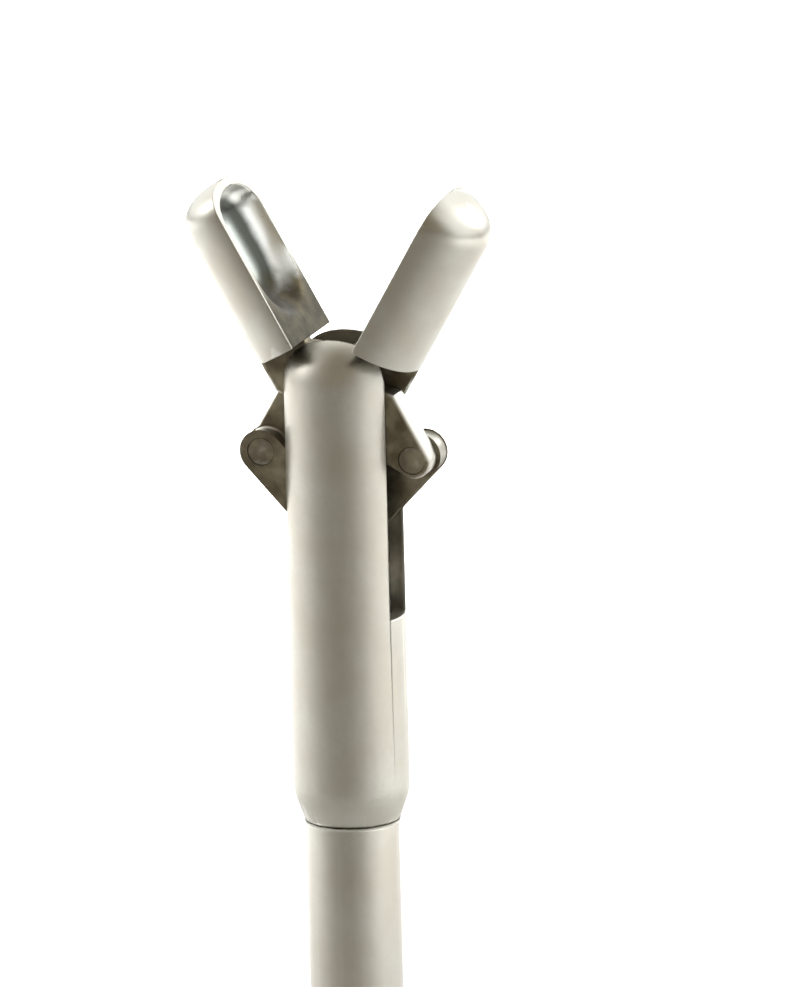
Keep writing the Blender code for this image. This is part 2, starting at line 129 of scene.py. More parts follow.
# A profile whose listed corners (index: radius) are rounded: each becomes a small Bezier arc between its
# two sides.
def eased(profile, corners, count=5):
    points = np.array(profile, float)
    made = []
    for i, point in enumerate(points):
        if i not in corners:
            made.append(point[None])
            continue
        before, after = points[i - 1], points[(i + 1) % len(points)]
        start = point + (before - point) / np.linalg.norm(before - point) * corners[i]
        end = point + (after - point) / np.linalg.norm(after - point) * corners[i]
        t = np.linspace(0, 1, count + 1)[:, None]
        made.append((1 - t) ** 2 * start + 2 * t * (1 - t) * point + t ** 2 * end)
    return np.vstack(made)


# (radius, height) from the tip down a superellipse nose to where it meets its cylinder.
def bluntNose(radius, tip, length, power, count):
    turn = np.linspace(math.pi / 2, 0, count + 1)
    out = radius * np.cos(turn) ** (2 / power)
    out[0] = 0
    return np.stack([out, tip - length + length * np.sin(turn) ** (2 / power)], axis=-1)


# A flat plate: the outline in XZ is carried across Y, pulled in by a quarter circle at each face, and
# where a trim radius is given every loop is held inside that circle about Z.
def plate(name, outline, yLow, yHigh, edge=0.1, trim=None, edgeSteps=4):
    loop = np.array(outline, float)
    side = np.roll(loop, -1, axis=0) - loop
    side /= np.linalg.norm(side, axis=1, keepdims=True)
    normal = np.stack([side[:, 1], -side[:, 0]], axis=-1)
    normal = normal + np.roll(normal, 1, axis=0)
    normal /= np.linalg.norm(normal, axis=1, keepdims=True)
    turn = np.linspace(0, math.pi / 2, edgeSteps + 1)
    inward, around = edge * (1 - np.sin(turn)), edge * (1 - np.cos(turn))
    depth = np.concatenate([yLow + inward, [(yLow + yHigh) / 2], yHigh - inward])
    order = np.argsort(depth)
    pull = np.concatenate([around, [0], around])
    depth, pull = depth[order], pull[order]
    flat = loop[None] - normal[None] * pull[:, None, None]
    if trim:
        limit = np.sqrt(trim ** 2 - depth ** 2) - pull
        flat[:, :, 0] = np.clip(flat[:, :, 0], -limit[:, None], limit[:, None])
    points = np.empty((len(depth), len(loop), 3))
    points[:, :, 0] = flat[:, :, 0]
    points[:, :, 1] = depth[:, None]
    points[:, :, 2] = flat[:, :, 1]
    faces = gridFaces(len(depth), len(loop))
    last = (len(depth) - 1) * len(loop)
    faces += [list(range(len(loop))), [last + i for i in range(len(loop))]]
    return finishMesh(name, points.reshape(-1, 3), faces)


def moved(piece, matrix):
    piece.data.transform(matrix)
    return piece


# A round bar along Y, for holes and pins that cross the tool.
def crossBar(name, radius, yLow, yHigh, x=0.0, z=0.0, steps=64):
    bar = turned(name, [(0, -yLow), (radius, -yLow), (radius, -yHigh), (0, -yHigh)], steps)
    return moved(bar, Matrix.Translation((x * mm, 0, z * mm)) @ Matrix.Rotation(math.pi / 2, 4, "X"))


def block(name, low, high):
    low, high = np.array(low, float), np.array(high, float)
    corner = np.array([[x, y, z] for x in (0, 1) for y in (0, 1) for z in (0, 1)])
    faces = [[0, 1, 3, 2], [4, 6, 7, 5], [0, 4, 5, 1], [2, 3, 7, 6], [0, 2, 6, 4], [1, 5, 7, 3]]
    return finishMesh(name, low + corner * (high - low), faces)


# Cuts the tools out of the piece, then rounds what edges the cuts leave.
def carve(piece, cutters, rounding=0.0, cornerDeg=38):
    for cutter in cutters:
        step = piece.modifiers.new("carve", "BOOLEAN")
        step.object = cutter
        step.operation = "DIFFERENCE"
        step.solver = "EXACT"
    if rounding:
        ease = piece.modifiers.new("ease", "BEVEL")
        ease.width = rounding * mm
        ease.segments = 3
        ease.limit_method = "ANGLE"
        ease.angle_limit = math.radians(cornerDeg)
        ease.use_clamp_overlap = False
        ease.harden_normals = True
    bpy.context.view_layer.update()
    made = bpy.data.meshes.new_from_object(piece.evaluated_get(bpy.context.evaluated_depsgraph_get()))
    piece.modifiers.clear()
    piece.data = made
    if not rounding:
        smoothMesh(made)
    for cutter in cutters:
        bpy.data.objects.remove(cutter)
    return piece


# Gives a piece its one finish.
def coat(piece, finish):
    piece.data.materials.clear()
    piece.data.materials.append(finish)
    return piece


# Hands a piece over: hangs it on the body that it rides on and hides the node that it stands for.
def fit(piece, body, node):
    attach(piece, body)
    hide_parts(node)


# Wraps one output so that masks and noises can be added and scaled as plain maths.
class Wave:
    def __init__(self, paint, socket):
        self.paint = paint
        self.socket = socket

    def maths(self, operation, *others):
        return self.paint.node("ShaderNodeMath", {"operation": operation}, self, *others)

    def __add__(self, other):
        return self.maths("ADD", other)

    def __sub__(self, other):
        return self.maths("SUBTRACT", other)

    def __rsub__(self, other):
        return self.maths("MULTIPLY", -1.0) + other

    def __mul__(self, other):
        return self.maths("MULTIPLY", other)

    __radd__ = __add__
    __rmul__ = __mul__

    # 0 below low, 1 above high, smooth between
    def rise(self, low, high):
        settings = {"interpolation_type": "SMOOTHSTEP"}
        return self.paint.node("ShaderNodeMapRange", settings, self, low, high, 0.0, 1.0)


# Adds nodes to one tree: an input takes a number, a colour or a Wave.
class Nodes:
    def __init__(self, tree):
        self.tree = tree

    # Any node: its settings first, then its inputs in order or by name; gives one of its outputs.
    def node(self, kind, settings=None, *inputs, out=0, **named):
        made = self.tree.nodes.new(kind)
        for key, value in (settings or {}).items():
            setattr(made, key, value)
        slots = [slot for slot in made.inputs if slot.enabled]
        pairs = list(zip(slots, inputs)) + [(made.inputs[key], value) for key, value in named.items()]
        for slot, value in pairs:
            self.feed(slot, value)
        return Wave(self, made.outputs[out])

    def feed(self, slot, value):
        if isinstance(value, Wave):
            self.tree.links.new(value.socket, slot)
        elif value is not None:
            slot.default_value = value

    def mix(self, factor, low, high):
        made = self.tree.nodes.new("ShaderNodeMix")
        made.data_type = "RGBA"
        for slot, value in zip((made.inputs[0], made.inputs[6], made.inputs[7]), (factor, low, high)):
            self.feed(slot, value)
        return Wave(self, made.outputs[2])


class Paint(Nodes):
    def __init__(self, name):
        self.material = bpy.data.materials.new(name)
        self.material.use_nodes = True
        super().__init__(self.material.node_tree)
        self.shader = self.tree.nodes["Principled BSDF"]

    def place(self, scale=(1, 1, 1)):
        where = self.node("ShaderNodeTexCoord", out="Object")
        return self.node("ShaderNodeMapping", None, where, Scale=scale)

    def axis(self, letter):
        where = self.node("ShaderNodeTexCoord", out="Object")
        return self.node("ShaderNodeSeparateXYZ", None, where, out=letter)

    def noise(self, size, detail=2.0, stretch=(1, 1, 1)):
        scale = tuple(part / (size * mm) for part in stretch)
        return self.node("ShaderNodeTexNoise", None, Vector=self.place(scale), Scale=1.0, Detail=detail)

    def bump(self, height, distance, strength=1.0):
        normal = self.node("ShaderNodeBump", None, Strength=strength, Distance=distance * mm, Height=height)
        self.feed(self.shader.inputs["Normal"], normal)

    def set(self, **values):
        for key, value in values.items():
            self.feed(self.shader.inputs[key.replace("_", " ")], value)


def rgb(red, green, blue):
    return (red, green, blue, 1.0)


steelTones = {
    "bright": rgb(0.47, 0.46, 0.42),
    "warm": rgb(0.42, 0.4, 0.345),
    "worn": rgb(0.6, 0.6, 0.57),  # rubbed edges, also a painted highlight along them
    "scale": rgb(0.11, 0.09, 0.055),  # dark heat scale left on faces that nothing rubs; the same tone is painted shade in the fork's slot and round the plates' pivot and neck
    "scaleLight": rgb(0.27, 0.24, 0.17),
    "hollow": rgb(0.2, 0.215, 0.2),  # painted grey along the cups' hollows at their deepest, the end of the painted shade band
    # painted shade and dark reflection in the hollow, and a painted highlight by its rim
    "hollowDull": rgb(0.06, 0.065, 0.055),
    "hollowRim": rgb(0.8, 0.81, 0.78),
    "stain": rgb(0.025, 0.02, 0.01),  # darker brown towards the cups' foot
    "stainLight": rgb(0.06, 0.051, 0.028),
}


# Satin bead-blasted steel: fine pits, faint turning lines, slow warm and cool patches, paler rubbed edges
# that also paint a highlight along the edges.
# The optional mask gives the dark tone: heat scale on rivets and plate faces, painted shade in the fork's
# slot and round the plates' pivot and neck.
def satinSteel(name, roughness=0.36, dark=None, pits=0.5, turning=0.3, tint=None):
    paint = Paint(name)
    fine = paint.noise(0.07, 3.0)
    grain = paint.noise(0.22, 2.0)
    patch = paint.noise(2.6, 3.0)
    lines = paint.noise(0.9, 3.0, (1, 1, 14))
    # paler rubbed edges, also a painted highlight along them
    rubbedGlint = paint.node("ShaderNodeNewGeometry", out="Pointiness").rise(0.52, 0.58)
    colour = paint.mix(patch.rise(0.3, 0.7), tint or steelTones["warm"], steelTones["bright"])
    colour = paint.mix(grain.rise(0.3, 0.75) * 0.3, colour, steelTones["warm"])
    colour = paint.mix(rubbedGlint * 0.6, colour, steelTones["worn"])
    rough = fine * 0.1 + grain * 0.08 + patch * 0.06 + (roughness - 0.12)
    rough = rough - rubbedGlint * 0.08
    if dark:
        # dark tone: heat scale, and painted shade where the mask is the slot's or the plates' pivot and neck
        mask = dark(paint)
        cloud = paint.noise(1.1, 4.0).rise(0.35, 0.7)
        scale = paint.mix(cloud, steelTones["scale"], steelTones["scaleLight"])
        colour = paint.mix(mask, colour, scale)
        rough = rough + mask * 0.12
    paint.set(Base_Color=colour, Roughness=rough, Metallic=1.0)
    paint.bump(fine * pits + lines * turning, 0.012, 0.55)
    return paint.material


# Mask of painted shade on the slot's two walls: within the slot's width, above its floor and off the outer
# skin.
def slotPaintedShade(paint):
    x, y, z = [paint.axis(letter) * (1 / mm) for letter in "XYZ"]
    radius = (x * x + y * y).maths("SQRT")
    slot = 1 - y.maths("ABSOLUTE").rise(fork["slotHalf"] + 0.01, fork["slotHalf"] + 0.04)
    floor = pivotZ - fork["slotFloor"]
    wall = slot * (1 - radius.rise(headR - 0.15, headR - 0.05)) * z.rise(floor - 0.1, floor)
    return wall * (0.7 - z.rise(pivotZ + 1.2, pivotZ + 2) * 0.6)  # painted shade, darkest low in the slot and paler up the ears


# Mask of a plate's two flat faces, by how squarely the surface faces along Y, for their heat scale, and of
# its edges near the pivot and up the neck, where the same dark tone is painted shade inside the slot.
def flatScaleAndSlotShade(paint):
    normal = paint.node("ShaderNodeNewGeometry", out="Normal")
    across = paint.node("ShaderNodeSeparateXYZ", None, normal, out="Y").maths("ABSOLUTE")
    x, z = paint.axis("X") * (1 / mm), paint.axis("Z") * (1 / mm) - pivotZ
    # painted shade round the pivot and up the neck, where the plates sit in the slot
    hub = 1 - (x * x + z * z).maths("SQRT").rise(2.3, 2.7)
    return across.rise(0.8, 0.97).maths("MAXIMUM", hub).maths("MAXIMUM", z.rise(0.3, 0.8)) * 0.95


# Mask of a rivet's scale, broken by small clean specks.
def everywhere(paint):
    return paint.noise(0.5, 3.0).rise(0.1, 0.5) * 0.9


# A jaw cup: satin steel outside; the hollow has a painted highlight by its rim, painted shade further in and
# painted grey along its deepest line, and turns dark brown towards the foot.
def cupSteel():
    paint = Paint("cupSteel")
    hollow, trough, stain = [paint.node("ShaderNodeAttribute", {"attribute_name": name}, out="Fac")
                             for name in ("hollow", "trough", "stain")]
    fine = paint.noise(0.07, 3.0)
    grain = paint.noise(0.22, 2.0)
    patch = paint.noise(2.6, 3.0)
    blotch = paint.noise(0.7, 4.0)
    # paler rubbed edges, also a painted highlight along them
    rubbedGlint = paint.node("ShaderNodeNewGeometry", out="Pointiness").rise(0.52, 0.58)
    outside = paint.mix(patch.rise(0.35, 0.68), steelTones["warm"], steelTones["bright"])
    outside = paint.mix(rubbedGlint * 0.6, outside, steelTones["worn"])
    # painted highlight by the hollow's rim, painted shade further in, painted grey along its deepest line
    hollowPaintedShadeBand = (trough + blotch * 0.08 - 0.04).rise(0.44, 0.7)
    inside = paint.mix(hollowPaintedShadeBand, steelTones["hollowRim"], steelTones["hollowDull"])
    inside = paint.mix((trough + patch * 0.1 - 0.05).rise(0.8, 0.99), inside, steelTones["hollow"])
    colour = paint.mix(hollow, outside, inside)
    # darker brown towards the cup's foot
    brown = paint.mix(blotch.rise(0.3, 0.7), steelTones["stain"], steelTones["stainLight"])
    colour = paint.mix((stain * 1.2 + blotch * 0.4 - 0.25).rise(0.05, 0.85), colour, brown)
    rough = (fine * 0.1 + grain * 0.08 + patch * 0.06 + 0.24) - hollow * 0.06 + stain * 0.1
    paint.set(Base_Color=colour, Roughness=rough, Metallic=1.0)
    paint.bump(fine * 0.5 * (1 - hollow) + grain * 0.25 * hollow, 0.012, 0.55)
    return paint.material


# Bronze, plastic or rubber: two close tones in slow patches over a fine grain.
def plainStuff(name, colour, other, roughness, metallic=0.0, size=0.6):
    paint = Paint(name)
    patch = paint.noise(size, 4.0)
    paint.set(
        Base_Color=paint.mix(patch.rise(0.3, 0.7), colour, other),
        Roughness=patch * 0.15 + (roughness - 0.07),
        Metallic=metallic,
    )
    paint.bump(paint.noise(0.08, 3.0), 0.01, 0.4)
    return paint.material


print("materials")
jawSteel = cupSteel()
plateSteel = satinSteel("plateSteel", 0.38, dark=flatScaleAndSlotShade)
linkSteel = satinSteel("linkSteel", 0.38, dark=flatScaleAndSlotShade)
shaftSteel = satinSteel("shaftSteel", 0.34, turning=0.15)
rodSteel = satinSteel("rodSteel", 0.26, pits=0.2, turning=0.5)
pinSteel = satinSteel("pinSteel", 0.36, dark=everywhere, pits=0.3)
innerSteel = satinSteel("innerSteel", 0.4, tint=rgb(0.25, 0.22, 0.16))
seamSteel = satinSteel("seamSteel", 0.22, pits=0.15, turning=0.0, tint=rgb(0.6, 0.58, 0.52))
bushBronze = plainStuff("bushBronze", rgb(0.5, 0.33, 0.15), rgb(0.62, 0.44, 0.22), 0.34, 1.0)
linerPlastic = plainStuff("linerPlastic", rgb(0.82, 0.82, 0.8), rgb(0.74, 0.74, 0.7), 0.45)
sealRubber = plainStuff("sealRubber", rgb(0.02, 0.02, 0.02), rgb(0.04, 0.04, 0.04), 0.6)


print("fork body")
fork = {
    "top": 2.54,  # above the pivot
    "blunt": 2.2,
    "noseShape": 2.4,
    "slotHalf": 1.0,
    "slotFloor": 9.82,  # below the pivot
    "shoulder": 17.65,  # below the pivot
    "shoulderRound": 0.45,
    "taper": 1.2,
    "lip": 0.07,  # the taper's end stands this much proud of the tube
    "lipRound": 0.05,
    "boreR": 1.87,
    "boreTop": 5.15,  # below the pivot
    "socketDepth": 4.9,
    "seat": 0.01,  # gap round the tube
    "pinR": 0.61,
    "pinStart": -2.0,  # the pivot hole stops this short of the near outside
    "edge": 0.06,
    "past": 1.0,  # how far the cutting tools run beyond the body
}


# A turned body with a blunt nose, cut by the long slot, the rod's bore, the tube's socket and the pivot hole.
def makeFork():
    shoulder = pivotZ - fork["shoulder"]
    bottom = shoulder - fork["taper"]
    nose = bluntNose(headR, pivotZ + fork["top"], fork["blunt"], fork["noseShape"], 48)
    skin = eased(
        [(headR, pivotZ - fork["past"]), (headR, shoulder), (tubeR + fork["lip"], bottom), (0, bottom)],
        {1: fork["shoulderRound"], 2: fork["lipRound"]},
        8,
    )
    body = turned("forkBody", np.vstack([nose, skin]), 192)
    wide, below = 2 * headR, bottom - fork["past"]
    boreTop, socketTop = pivotZ - fork["boreTop"], bottom + fork["socketDepth"]
    socketR = tubeR + fork["seat"]
    slotLow = (-wide, -fork["slotHalf"], pivotZ - fork["slotFloor"])
    tools = [
        block("slotTool", slotLow, (wide, fork["slotHalf"], pivotZ + wide)),
        turned("boreTool", [(0, boreTop), (fork["boreR"], boreTop), (fork["boreR"], below), (0, below)], 96),
        turned("socketTool", [(0, socketTop), (socketR, socketTop), (socketR, below), (0, below)], 96),
        crossBar("pivotTool", fork["pinR"], fork["pinStart"], headR + fork["past"], z=pivotZ),
    ]
    return carve(body, tools, fork["edge"])


# the dark tone on the slot walls is painted shade
forkSteel = satinSteel("forkSteel", 0.42, dark=slotPaintedShade)
fit(coat(makeFork(), forkSteel), "shaft", "fork_body")


rivet = {
    "headR": 0.6,
    "head": 0.25,  # its thickness
    "bodyR": 0.4,
    "sink": 0.01,
    "ease": 0.03,
    "crown": 0.003,
    "gap": 0.012,
}

print("jaws")
jaw = {
    "base": 2.66,  # above the pivot
    "tip": 10.4,
    "blunt": 1.5,
    "noseShape": 2.4,
    "rim": 0.25,
    "hollowStart": 3.5,
    "hollowRound": 2.3,
    "hollowFade": 2.6,  # how far up from its start the hollow reaches its depth
    "hollowTip": 0.45,  # wall at the tip
    "hollowDepth": 1.25,
    "hollowShape": 0.7,  # 0.5 is an ellipse across, 1 a parabola
    "hollowNose": 2.2,  # superellipse power of its upper end
    "rows": 56,  # along the hollow
    "noseRows": 28,
    "arcSteps": 56,
    "hollowSteps": 32,
    "rimSteps": (0.75, 0.5, 0.25),
    "half": 0.02,  # half the gap between the shut cups
    "ease": 0.05,
    "stainTop": 6.8,
    "stainFade": 2.8,
    "skin": 0.12,  # the masks keep this far off the outside
    "face": 0.05,  # and the hollow's masks this far off the pivot's plane
    "trim": headR - 0.01,
    "edge": 0.16,
    "hub": 1.65,
    "lobe": 0.82,
    "eye": 0.62,  # hole for the pivot
    "root": 0.5,  # how far the plate runs up into the cup
    "past": headR + 0.2,  # plate corners out here are trimmed to the bullet's round
    "neckFront": [(0.03, -0.1), (-0.35, -0.35)],  # from the cup's base
    "neckBack": [1.3, (1.7, 0.55)],  # height where it leaves the skin, then its lowest point
    "tailBack": [-1.2, (-1.7, -0.45)],
    "tailCorner": 0.3,  # above the tail's eye
}
tailX = tailPin[0]
tailDrop = pivotZ - tailPin[2]
tailLength = math.hypot(tailX, tailDrop)
tailShut = math.atan2(tailX, tailDrop) - openAngle
tailAt = (tailLength * math.sin(tailShut), -tailLength * math.cos(tailShut))


# 1 up to the start, then falling to 0 over the run along a superellipse of the given power.
def fallOff(distance, run, power):
    share = np.clip(distance / run, 0, 1)
    return (1 - share ** power) ** (1 / power)


# Half a bullet with a spoon hollow, shut and standing on Z, its outside towards +X. Each row is one height:
# the outer half circle of radius R(z), then back across the parting face. Between the rims, at y = c(z) u, it
# is sunk by the depth times (1 - u squared) to a power, times a smooth rise from a half-round foot.
def makeCup(name):
    ease = 0.5 - 0.5 * np.cos(np.linspace(0, math.pi, jaw["rows"] + 1))
    hollowEnd = jaw["tip"] - jaw["hollowTip"]
    domeStart = jaw["tip"] - jaw["blunt"]
    heights = np.concatenate([
        np.linspace(jaw["base"], jaw["hollowStart"], 4),
        jaw["hollowStart"] + (hollowEnd - jaw["hollowStart"]) * ease,
        bluntNose(headR, jaw["tip"], jaw["blunt"], jaw["noseShape"], jaw["noseRows"])[:, 1],
    ])
    heights = np.unique(np.round(heights, 5))
    outer = headR * fallOff(np.maximum(heights - domeStart, 0), jaw["blunt"], jaw["noseShape"])
    tipFall = fallOff(np.maximum(heights - (hollowEnd - jaw["blunt"]), 0), jaw["blunt"], jaw["hollowNose"])
    width = (headR - jaw["rim"]) * np.maximum(tipFall, 0.05)
    width = np.minimum(width, np.maximum(outer - 0.5 * jaw["rim"], 0))
    turn = np.linspace(-math.pi / 2, math.pi / 2, jaw["arcSteps"] + 1)
    across = np.cos(np.linspace(0, math.pi, jaw["hollowSteps"] + 1))
    rimIn = np.array(jaw["rimSteps"])
    arcX = outer[:, None] * np.cos(turn)
    arcY = outer[:, None] * np.sin(turn)
    rimY = width[:, None] + (outer - width)[:, None] * rimIn
    hollowY = width[:, None] * across
    bowl = np.maximum(1 - across ** 2, 0)
    foot = jaw["hollowStart"] + jaw["hollowRound"] * (1 - np.sqrt(bowl))
    share = np.clip((heights[:, None] - foot) / jaw["hollowFade"], 0, 1)
    rising = share ** 2 * (3 - 2 * share)
    hollowX = jaw["hollowDepth"] * tipFall[:, None] * bowl ** jaw["hollowShape"] * rising
    flat = np.zeros_like(rimY)
    x = np.hstack([arcX, flat, hollowX, flat])
    y = np.hstack([arcY, rimY, hollowY, -rimY[:, ::-1]])
    z = np.repeat(heights[:, None], x.shape[1], axis=1)
    x = np.maximum(x, 0) + jaw["half"]
    points = np.stack([x, y, z], axis=-1)
    rows, columns = x.shape
    faces = gridFaces(rows, columns) + [list(range(columns))]
    cup = finishMesh(name, points.reshape(-1, 3), faces, 28)
    carve(cup, [], jaw["ease"], cornerDeg=80)
    markCup(cup.data)
    return cup


# Stores three masks on the points: the hollow, well inside the bullet's skin and off the parting face, the
# trough, from 0 at its rim to 1 at its deepest, and a darkening towards the cup's foot, on the parting face
# and in the hollow.
def markCup(mesh):
    points = np.empty(len(mesh.vertices) * 3)
    mesh.vertices.foreach_get("co", points)
    x, y, z = (points.reshape(-1, 3) / mm).T
    skin = headR * fallOff(np.maximum(z - jaw["tip"] + jaw["blunt"], 0), jaw["blunt"], jaw["noseShape"])
    buried = np.hypot(x, y) < skin - jaw["skin"]
    hollow = buried & (x > jaw["face"]) & (z > jaw["hollowStart"] - 0.1)
    trough = np.where(hollow, x / jaw["hollowDepth"], 0)
    low = np.clip((jaw["stainTop"] - z) / jaw["stainFade"], 0, 1)
    stain = np.where(buried, low, 0)
    for name, values in (("hollow", hollow), ("trough", trough), ("stain", stain)):
        mark = mesh.attributes.new(name, "FLOAT", "POINT")
        mark.data.foreach_set("value", values.astype(np.float32))


# The plate below the cup, outside towards +X: neck, hub round the pivot, and the tail on the other side.
def jawPlateOutline():
    wide, base = jaw["past"], jaw["base"]
    tail = (-tailAt[0], tailAt[1])
    (frontX, frontDrop), (waistX, waistDrop) = jaw["neckFront"]
    root = base + jaw["root"]
    return np.vstack([
        [(frontX, root), (wide, root), (wide, jaw["neckBack"][0]), jaw["neckBack"][1]],
        arc((0, 0), jaw["hub"], 15, -55, 10),
        arc(tail, jaw["lobe"], -15, -160, 24),
        [(-wide, tail[1] + jaw["tailCorner"]), (-wide, jaw["tailBack"][0]), jaw["tailBack"][1]],
        arc((0, 0), jaw["hub"], 180, 120, 10),
        [(waistX, base + waistDrop), (frontX, base + frontDrop)],
    ])


# Cup and plate in one piece, made shut about the pivot, turned to its side and swung open by the tilt.
def makeJaw(name, turn, tilt):
    cup = coat(makeCup(name + "Cup"), jawSteel)
    layer = plate(name + "Plate", jawPlateOutline()[::-1], layerGap, plateHalf, jaw["edge"], jaw["trim"])
    sinkR, sinkY = rivet["headR"] + rivet["gap"], plateHalf - rivet["head"]
    carve(layer, [
        crossBar("tailHole", sinkR, sinkY, through, -tailAt[0], tailAt[1]),
        crossBar("pivotHole", jaw["eye"], -through, through),
    ])
    both = joinKeeping(name, cup, coat(layer, plateSteel))
    swung = Matrix.Rotation(tilt, 4, "Y") @ Matrix.Rotation(turn, 4, "Z")
    return moved(both, Matrix.Translation((0, 0, pivotZ * mm)) @ swung)


# Joins two pieces and keeps each one's material.
def joinKeeping(name, first, second):
    for piece in (first, second):
        piece.select_set(True)
    bpy.context.view_layer.objects.active = first
    with bpy.context.temp_override(active_object=first, selected_editable_objects=[first, second],
                                   selected_objects=[first, second], object=first):
        bpy.ops.object.join()
    first.name = name
    first.select_set(False)
    return first


fit(makeJaw("jawRight", 0.0, openAngle), "jaw_right_body", "jaw_right")
fit(makeJaw("jawLeft", math.pi, -openAngle), "jaw_left_body", "jaw_left")


print("links and rivets")
link = {"edge": 0.14, "length": 5.0, "eyeShort": 0.1, "eyeR": 0.5, "lobe": 0.82}
linkLean = math.asin(tailX / link["length"])


# A bar hanging from its tail eye, in the near or far layer of plates.
def makeLink(name, side):
    ends = (0, 0), (0, -link["length"])
    outline = np.vstack([arc(ends[0], link["lobe"], 0, 180, 28), arc(ends[1], link["lobe"], 180, 360, 28)])
    low, high = (layerGap, plateHalf) if side > 0 else (-plateHalf, -layerGap)
    bar = plate(name, outline[::-1], low, high, link["edge"])
    sinkY = plateHalf - rivet["head"]
    outerFace = (sinkY, through) if side > 0 else (-through, -sinkY)
    carve(bar, [
        crossBar("headHole", rivet["headR"] + rivet["gap"], *outerFace),
        crossBar("rodEye", link["eyeR"], -through, through, z=link["eyeShort"] - link["length"]),
    ])
    return moved(bar, atTailPin(side) @ Matrix.Rotation(side * linkLean, 4, "Y"))


def atTailPin(side):
    return Matrix.Translation((side * tailX * mm, 0, tailPin[2] * mm))


# Two flush heads on a thin shank, each face a touch crowned and eased at its rim.
def makeRivet(name, side):
    face = plateHalf - rivet["sink"]
    neck = plateHalf - rivet["head"] - rivet["sink"]
    rim = rivet["headR"] - rivet["ease"]
    head = [(0, face), (rim, face - rivet["crown"]), (rivet["headR"], face - rivet["ease"])]
    half = head + [(rivet["headR"], neck), (rivet["bodyR"], neck)]
    profile = half + [(r, -z) for r, z in half[::-1]]
    return moved(turned(name, profile, 64), atTailPin(side) @ Matrix.Rotation(math.pi / 2, 4, "X"))


for side, word, other in ((1, "Right", "left"), (-1, "Left", "right")):
    low = word.lower()
    fit(coat(makeLink("link" + word, side), linkSteel), f"link_{low}_body", f"link_{low}")
    fit(coat(makeRivet("rivet" + word, side), pinSteel), f"jaw_{other}_body", f"tail_pin_{low}")


print("shaft and coupling")
shaft = {"bore": 1.6, "ease": 0.05}
seam = {"gap": 0.01, "inset": 0.17, "bulge": 0.13, "high": 0.18}
tubeLow, tubeHigh = [corner.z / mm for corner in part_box("shaft_tube")]
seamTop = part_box("solder_seam")[1].z / mm


def makeTube():
    corners = [(tubeR, tubeHigh), (tubeR, tubeLow), (shaft["bore"], tubeLow), (shaft["bore"], tubeHigh)]
    return turned("shaftTube", eased(corners, {0: shaft["ease"], 1: shaft["ease"]}))


# The small bead of solder where the fork body ends on the tube.
def makeSeam():
    bead = arc((tubeR + seam["inset"], seamTop - seam["inset"]), seam["bulge"], 100, 190, 8)
    inside = tubeR + seam["gap"]
    return turned("solderSeam", np.vstack([bead, [(inside, seamTop - seam["high"]), (inside, seamTop)]]))


fit(coat(makeTube(), shaftSteel), "shaft", "shaft_tube")
fit(coat(makeSeam(), seamSteel), "shaft", "solder_seam")

ferrule = {
    "insideR": 1.59,  # the part inside the tube
    "top": 6.0,
    "collarR": 2.6,
    "collar": 2.0,
    "flat": 2.3,
    "spigotR": 1.75,
    "spigot": 5.0,
    "groove": (2.9, 3.5),  # below the collar
    "grooveR": 1.5,
    "sealR": 1.45,
    "seal": 1.6,  # depth of the seal's seat
    "bore": 0.88,
    "edge": 0.04,
    "reach": (6, 5, 1),  # the flats' cutting blocks run out to here
}


# A collar with two flats, a spigot up into the tube and one down with a snap groove, bored for the rod.
def makeFerrule():
    inner, seat, bore = ferrule["insideR"], ferrule["sealR"], ferrule["bore"]
    collarR, collar, top = ferrule["collarR"], ferrule["collar"], ferrule["top"]
    spigotR, grooveR, low = ferrule["spigotR"], ferrule["grooveR"], -ferrule["spigot"]
    grooveHigh, grooveLow = [-depth for depth in ferrule["groove"]]
    shelf = low + ferrule["seal"]
    profile = [
        (inner, top), (inner, collar), (collarR, collar), (collarR, 0),
        (spigotR, 0), (spigotR, grooveHigh), (grooveR, grooveHigh),
        (grooveR, grooveLow), (spigotR, grooveLow),
        (spigotR, low), (seat, low), (seat, shelf), (bore, shelf), (bore, top),
    ]
    rounds = {0: 0.1, 2: 0.22, 3: 0.22, 4: 0.03, 5: 0.06, 6: 0.04, 7: 0.04, 8: 0.06, 9: 0.22, 10: 0.05}
    body = turned("shaftFerrule", eased(profile, rounds, 6))
    flat = ferrule["flat"]
    farX, farY, past = ferrule["reach"]
    tools = [
        block("flatToolLeft", (-farX, -farY, -past), (-flat, farY, collar + past)),
        block("flatToolRight", (flat, -farY, -past), (farX, farY, collar + past)),
    ]
    return carve(body, tools, ferrule["edge"])


fit(coat(makeFerrule(), shaftSteel), "shaft", "shaft_ferrule")

ball = {
    "ballR": 1.15,
    "ballZ": -8.2,
    "neckR": 0.62,
    "collarR": 1.15,
    "top": -5.4,
    "bottom": -6.75,
    "ease": 0.12,
}


# The rod's lower end: a short collar, a neck and a ball for the handle to pull.
def makeBall():
    neck, collarR, top, bottom = ball["neckR"], ball["collarR"], ball["top"], ball["bottom"]
    throat = math.degrees(math.asin(neck / ball["ballR"]))
    knob = arc((0, ball["ballZ"]), ball["ballR"], 90 - throat, -90, 40)
    knob[-1, 0] = 0
    profile = [(0, top), (collarR, top), (collarR, bottom), (neck, bottom), (neck, knob[0, 1])]
    collar = eased(profile, {1: ball["ease"], 2: ball["ease"], 3: ball["ease"]}, 6)
    return turned("ballEnd", np.vstack([collar[:-1], knob]))


fit(coat(makeBall(), rodSteel), "rod", "ball_end")

